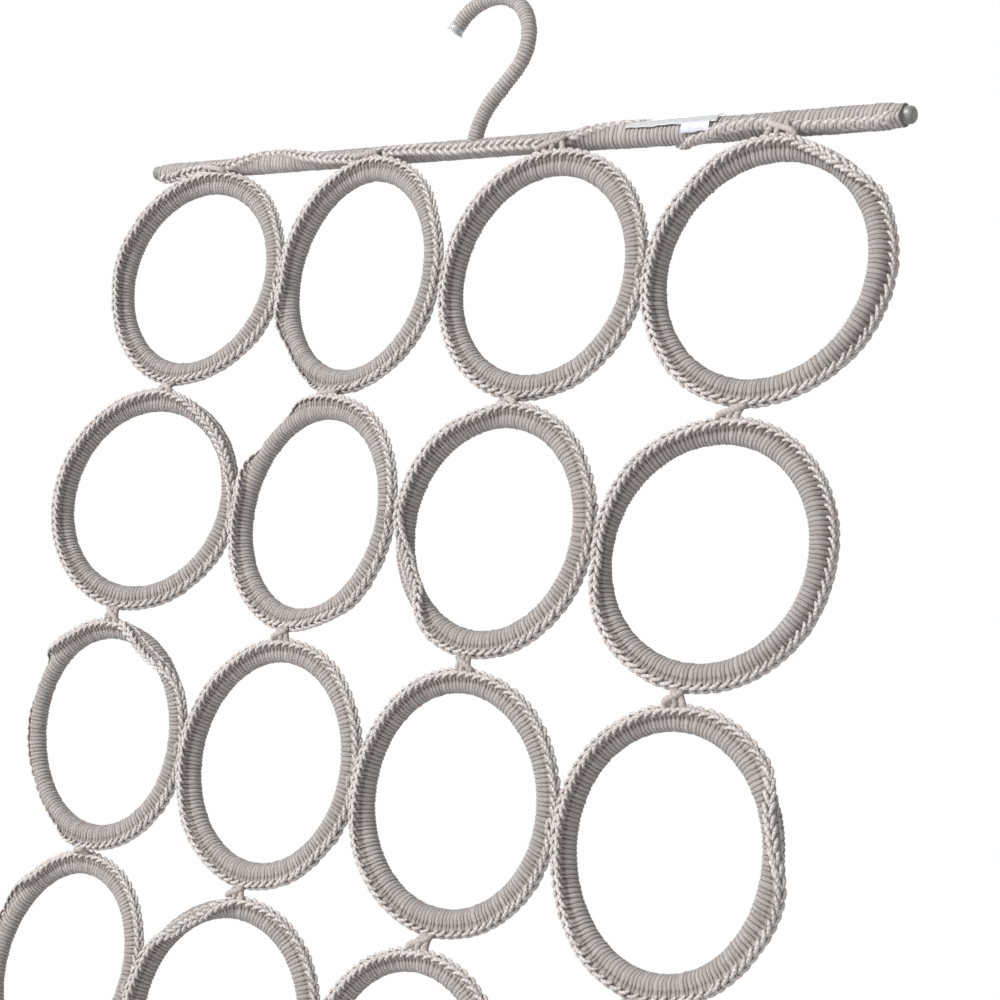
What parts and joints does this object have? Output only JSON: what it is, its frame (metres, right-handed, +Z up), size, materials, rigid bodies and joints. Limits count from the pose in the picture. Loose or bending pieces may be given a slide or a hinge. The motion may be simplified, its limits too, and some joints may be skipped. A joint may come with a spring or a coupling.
{
  "type": "scarf hanger",
  "caption": "Hanging organiser for scarves: a cord-wound hook and rod carry a foldable net of crocheted rings.",
  "frame": {"origin": "centre of the rail that the hook goes over, which is the centre of the hook's arc", "axes": "+Z up, X along the rod with the hook's tip towards -X, -Y the front, where the rings' chains lean"},
  "size_m": [0.4168, 0.0239, 0.8312],
  "materials": {
    "wound_cord": "matte cotton cord, tightly wound",
    "crochet_cord": "matte cotton cord, wound and chain stitched",
    "knot_cord": "matte cotton cord, knotted",
    "ring_core": "moulded, hidden in the cover",
    "wire": "drawn wire",
    "rod": "satin grey",
    "clear_plastic": "clear film"
  },
  "bodies": {
    "root": {"hook_wire": "wire", "hook_winding": "wound_cord", "hook_tip_cap": "clear_plastic", "rod": "rod", "rod_winding": "wound_cord", "rod_tape": "clear_plastic"},
    "row_1": {"ring_r1_c1_cover": "crochet_cord", "ring_r1_c2_cover": "crochet_cord", "ring_r1_c3_cover": "crochet_cord", "ring_r1_c4_cover": "crochet_cord", "row_1_ring_cores": "ring_core", "row_1_knots": "knot_cord", "row_1_side_ties": "knot_cord"},
    "row_2": {"ring_r2_c1_cover": "crochet_cord", "ring_r2_c2_cover": "crochet_cord", "ring_r2_c3_cover": "crochet_cord", "ring_r2_c4_cover": "crochet_cord", "row_2_ring_cores": "ring_core", "row_2_knots": "knot_cord", "row_2_side_ties": "knot_cord"},
    "row_3": {"ring_r3_c1_cover": "crochet_cord", "ring_r3_c2_cover": "crochet_cord", "ring_r3_c3_cover": "crochet_cord", "ring_r3_c4_cover": "crochet_cord", "row_3_ring_cores": "ring_core", "row_3_knots": "knot_cord", "row_3_side_ties": "knot_cord"},
    "row_4": {"ring_r4_c1_cover": "crochet_cord", "ring_r4_c2_cover": "crochet_cord", "ring_r4_c3_cover": "crochet_cord", "ring_r4_c4_cover": "crochet_cord", "row_4_ring_cores": "ring_core", "row_4_knots": "knot_cord", "row_4_side_ties": "knot_cord"},
    "row_5": {"ring_r5_c1_cover": "crochet_cord", "ring_r5_c2_cover": "crochet_cord", "ring_r5_c3_cover": "crochet_cord", "ring_r5_c4_cover": "crochet_cord", "row_5_ring_cores": "ring_core", "row_5_knots": "knot_cord", "row_5_side_ties": "knot_cord"},
    "row_6": {"ring_r6_c1_cover": "crochet_cord", "ring_r6_c2_cover": "crochet_cord", "ring_r6_c3_cover": "crochet_cord", "ring_r6_c4_cover": "crochet_cord", "row_6_ring_cores": "ring_core", "row_6_knots": "knot_cord", "row_6_side_ties": "knot_cord"},
    "row_7": {"ring_r7_c1_cover": "crochet_cord", "ring_r7_c2_cover": "crochet_cord", "ring_r7_c3_cover": "crochet_cord", "ring_r7_c4_cover": "crochet_cord", "row_7_ring_cores": "ring_core", "row_7_knots": "knot_cord", "row_7_side_ties": "knot_cord"}
  },
  "joints": [
    {"name": "row_1_fold", "type": "hinge", "parent": "root", "child": "row_1", "pos_m": [0, 0, -0.0448], "axis": [1, 0, 0], "range_deg": [-40, 40]},
    {"name": "row_2_fold", "type": "hinge", "parent": "row_1", "child": "row_2", "pos_m": [0, 0, -0.15681], "axis": [1, 0, 0], "range_deg": [-40, 40]},
    {"name": "row_3_fold", "type": "hinge", "parent": "row_2", "child": "row_3", "pos_m": [0, 0, -0.26541], "axis": [1, 0, 0], "range_deg": [-40, 40]},
    {"name": "row_4_fold", "type": "hinge", "parent": "row_3", "child": "row_4", "pos_m": [0, 0, -0.37402], "axis": [1, 0, 0], "range_deg": [-40, 40]},
    {"name": "row_5_fold", "type": "hinge", "parent": "row_4", "child": "row_5", "pos_m": [0, 0, -0.48263], "axis": [1, 0, 0], "range_deg": [-40, 40]},
    {"name": "row_6_fold", "type": "hinge", "parent": "row_5", "child": "row_6", "pos_m": [0, 0, -0.59123], "axis": [1, 0, 0], "range_deg": [-40, 40]},
    {"name": "row_7_fold", "type": "hinge", "parent": "row_6", "child": "row_7", "pos_m": [0, 0, -0.69984], "axis": [1, 0, 0], "range_deg": [-40, 40]}
  ]
}
